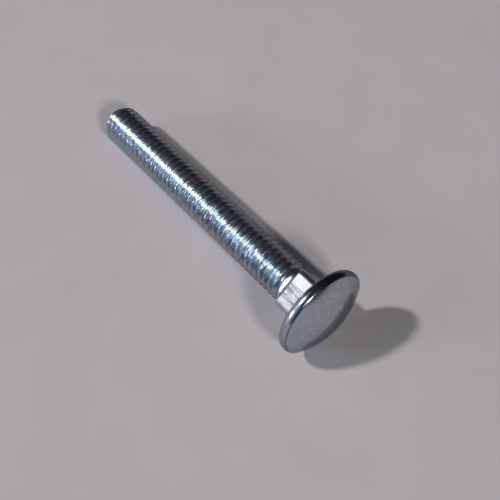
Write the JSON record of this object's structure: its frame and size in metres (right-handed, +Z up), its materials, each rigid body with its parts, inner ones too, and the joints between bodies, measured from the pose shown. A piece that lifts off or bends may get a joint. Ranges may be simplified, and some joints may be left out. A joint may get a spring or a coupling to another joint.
{
  "type": "carriage bolt",
  "caption": "Zinc-plated steel carriage bolt with a low domed round head, a square neck that keeps it from turning, and a straight threaded shank.",
  "frame": {"origin": "middle of the lying bolt's box, on the surface that it rests on", "axes": "+X points from the tip toward the head, +Z is up, and the bolt's own axis rises 5 degrees toward +X"},
  "size_m": [0.0782, 0.022, 0.0219],
  "materials": {
    "zinc_plate": "bright zinc plate with a faint blue cast"
  },
  "bodies": {
    "root": {"carriage_bolt": "zinc_plate"}
  },
  "joints": []
}
